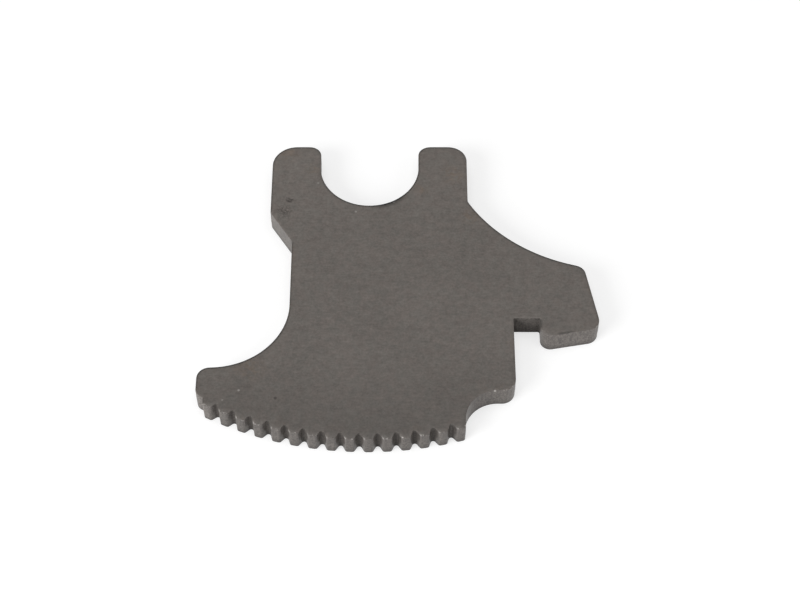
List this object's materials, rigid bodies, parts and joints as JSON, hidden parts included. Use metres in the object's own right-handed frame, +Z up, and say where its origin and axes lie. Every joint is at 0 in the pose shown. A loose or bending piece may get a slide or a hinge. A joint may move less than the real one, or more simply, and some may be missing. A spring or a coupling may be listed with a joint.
{
  "type": "sector gear",
  "caption": "Flat blanked steel sector gear with an open round pivot seat, a row of short teeth on an arc and a slotted hook.",
  "frame": {"origin": "on the axis of the round pivot seat, at the underside of the plate", "axes": "+Y towards the open mouth of the pivot seat, away from the teeth; +X towards the hook; +Z up through the thickness"},
  "size_m": [0.0776, 0.0713, 0.005],
  "materials": {
    "plate_steel": "matte dark grey-brown phosphate coat on steel, with lighter blanked edges"
  },
  "bodies": {
    "root": {"sector_gear": "plate_steel"}
  },
  "joints": []
}
